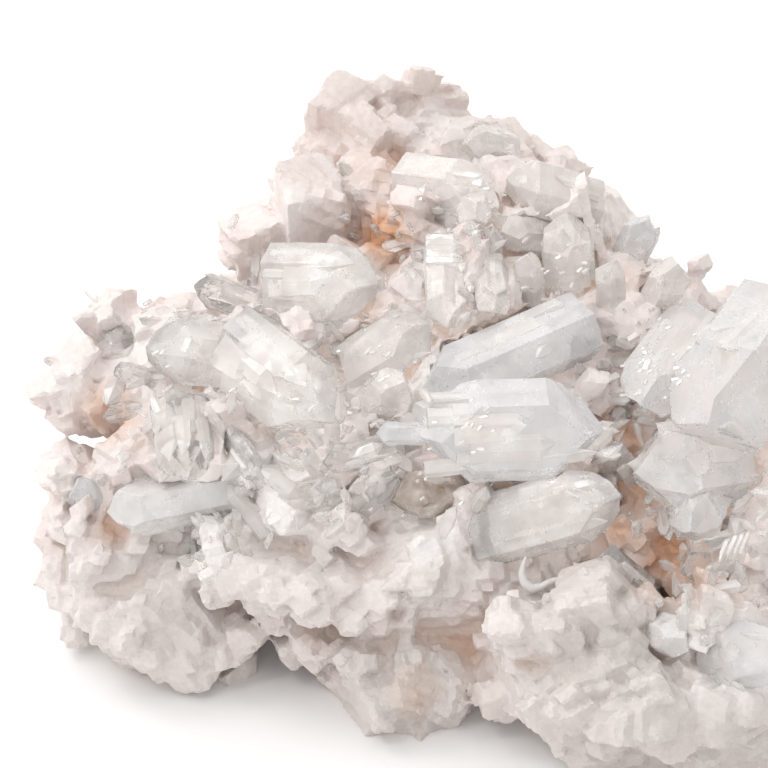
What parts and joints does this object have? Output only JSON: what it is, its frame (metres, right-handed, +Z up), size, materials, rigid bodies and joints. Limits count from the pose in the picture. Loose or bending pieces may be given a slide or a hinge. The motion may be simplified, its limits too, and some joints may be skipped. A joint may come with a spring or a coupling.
{
  "type": "mineral specimen",
  "caption": "Pale pink rhombohedral dolomite with clear to milky quartz points, resting on a flat-cut base.",
  "frame": {"origin": "a point on the flat cut of the base, below the middle of the display side", "axes": "+Z up from the table; -Y is the side that the specimen shows, seen from above at 35 degrees; +X to the right of that side, along the specimen's length"},
  "size_m": [0.1101, 0.0907, 0.0595],
  "materials": {
    "dolomite": "pale pink, pearly, finely crystalline, opaque",
    "quartz_clear": "clear crystal with fine growth lines, glassy",
    "quartz_cloudy": "crystal clouded by fine inclusions and cracks, glassy",
    "quartz_milky": "milky pale blue-grey crystal, translucent"
  },
  "bodies": {
    "root": {"dolomite": "dolomite", "quartz_back_high": "quartz_milky", "quartz_back_right": "quartz_milky", "quartz_block": "quartz_cloudy", "quartz_broad_left": "quartz_cloudy", "quartz_brown": "quartz_cloudy", "quartz_columns_a": "quartz_cloudy", "quartz_columns_b": "quartz_clear", "quartz_columns_c": "quartz_clear", "quartz_cracked_a": "quartz_clear", "quartz_drop": "quartz_clear", "quartz_end_low": "quartz_milky", "quartz_end_mid": "quartz_milky", "quartz_grey": "quartz_milky", "quartz_hidden_b": "quartz_clear", "quartz_left_point": "quartz_clear", "quartz_long_left": "quartz_cloudy", "quartz_long_right": "quartz_cloudy", "quartz_low_left": "quartz_clear", "quartz_low_right": "quartz_milky", "quartz_low_right_b": "quartz_milky", "quartz_main": "quartz_cloudy", "quartz_ribbed": "quartz_cloudy", "quartz_ridge_blue": "quartz_milky", "quartz_ridge_brown": "quartz_cloudy", "quartz_ridge_round": "quartz_milky", "quartz_ridge_slab": "quartz_cloudy", "quartz_right_point": "quartz_clear", "quartz_rim_point": "quartz_clear", "quartz_sheaf_a": "quartz_clear", "quartz_sheaf_b": "quartz_clear", "quartz_sheaf_c": "quartz_clear", "quartz_sliver_a": "quartz_clear", "quartz_sliver_b": "quartz_clear", "quartz_stub": "quartz_clear", "quartz_upper_broad": "quartz_cloudy", "quartz_upright": "quartz_clear", "quartz_window": "quartz_clear", "quartz_wing": "quartz_clear"}
  },
  "joints": []
}
